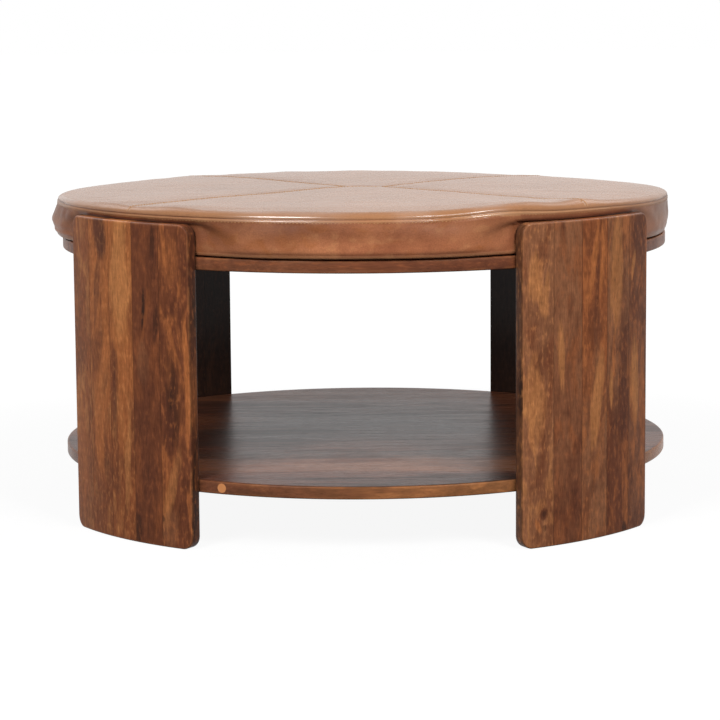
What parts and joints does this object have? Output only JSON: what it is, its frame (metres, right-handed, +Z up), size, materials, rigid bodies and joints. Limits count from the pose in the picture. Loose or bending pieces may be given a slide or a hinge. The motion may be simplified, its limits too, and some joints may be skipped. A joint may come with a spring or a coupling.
{
  "type": "round coffee table",
  "caption": "Low round coffee table: curved stave-built legs hold a planked shelf and an upper board, on which a crowned round leather pad rests between the leg tops.",
  "frame": {"origin": "on the floor at the table's centre", "axes": "+Z up, -Y the front that faces the camera in the picture, +X to its right"},
  "size_m": [0.7877, 0.7874, 0.3999],
  "materials": {
    "stave_1": "satin lacquer on grey-brown chestnut-stained hardwood",
    "stave_2": "satin lacquer on mid-brown chestnut-stained hardwood",
    "stave_3": "satin lacquer on golden chestnut-stained hardwood",
    "stave_4": "satin lacquer on dark red-brown chestnut-stained hardwood",
    "stave_5": "satin lacquer on orange-brown chestnut-stained hardwood",
    "shelf_plank": "satin lacquer on dark chestnut-stained hardwood",
    "top_board_plank": "satin lacquer on chestnut-stained hardwood",
    "plug": "light wood end grain, lacquered",
    "dowel": "bare beech",
    "leather": "waxed tan leather",
    "foam": "upholstery foam",
    "plywood": "bare plywood",
    "dark_cloth": "black non-woven lining"
  },
  "bodies": {
    "table_frame": {"dowel_shelf_front_left_1": "dowel", "dowel_shelf_front_left_2": "dowel", "dowel_shelf_front_right_1": "dowel", "dowel_shelf_front_right_2": "dowel", "dowel_shelf_rear_left_1": "dowel", "dowel_shelf_rear_left_2": "dowel", "dowel_shelf_rear_right_1": "dowel", "dowel_shelf_rear_right_2": "dowel", "dowel_top_front_left_1": "dowel", "dowel_top_front_left_2": "dowel", "dowel_top_front_right_1": "dowel", "dowel_top_front_right_2": "dowel", "dowel_top_rear_left_1": "dowel", "dowel_top_rear_left_2": "dowel", "dowel_top_rear_right_1": "dowel", "dowel_top_rear_right_2": "dowel", "leg_front_left_stave_1": "stave_1", "leg_front_left_stave_2": "stave_2", "leg_front_left_stave_3": "stave_3", "leg_front_left_stave_4": "stave_4", "leg_front_left_stave_5": "stave_5", "leg_front_right_stave_1": "stave_1", "leg_front_right_stave_2": "stave_2", "leg_front_right_stave_3": "stave_3", "leg_front_right_stave_4": "stave_4", "leg_front_right_stave_5": "stave_5", "leg_rear_left_stave_1": "stave_1", "leg_rear_left_stave_2": "stave_2", "leg_rear_left_stave_3": "stave_3", "leg_rear_left_stave_4": "stave_4", "leg_rear_left_stave_5": "stave_5", "leg_rear_right_stave_1": "stave_1", "leg_rear_right_stave_2": "stave_2", "leg_rear_right_stave_3": "stave_3", "leg_rear_right_stave_4": "stave_4", "leg_rear_right_stave_5": "stave_5", "shelf_plank_1": "shelf_plank", "shelf_plank_2": "shelf_plank", "shelf_plank_3": "shelf_plank", "shelf_plank_4": "shelf_plank", "shelf_plank_5": "shelf_plank", "shelf_plank_6": "shelf_plank", "shelf_rim_plug": "plug", "top_board_plank_1": "top_board_plank", "top_board_plank_2": "top_board_plank", "top_board_plank_3": "top_board_plank", "top_board_plank_4": "top_board_plank", "top_board_plank_5": "top_board_plank", "top_board_plank_6": "top_board_plank"},
    "pad": {"pad_base": "plywood", "pad_foam": "foam", "pad_leather_back": "leather", "pad_leather_front": "leather", "pad_leather_left": "leather", "pad_leather_right": "leather", "pad_leather_side": "leather", "pad_underside_cloth": "dark_cloth"}
  },
  "joints": [
    {"name": "pad_lift", "type": "slide", "parent": "table_frame", "child": "pad", "axis": [0, 0, 1], "range_m": [0, 0.1]}
  ]
}
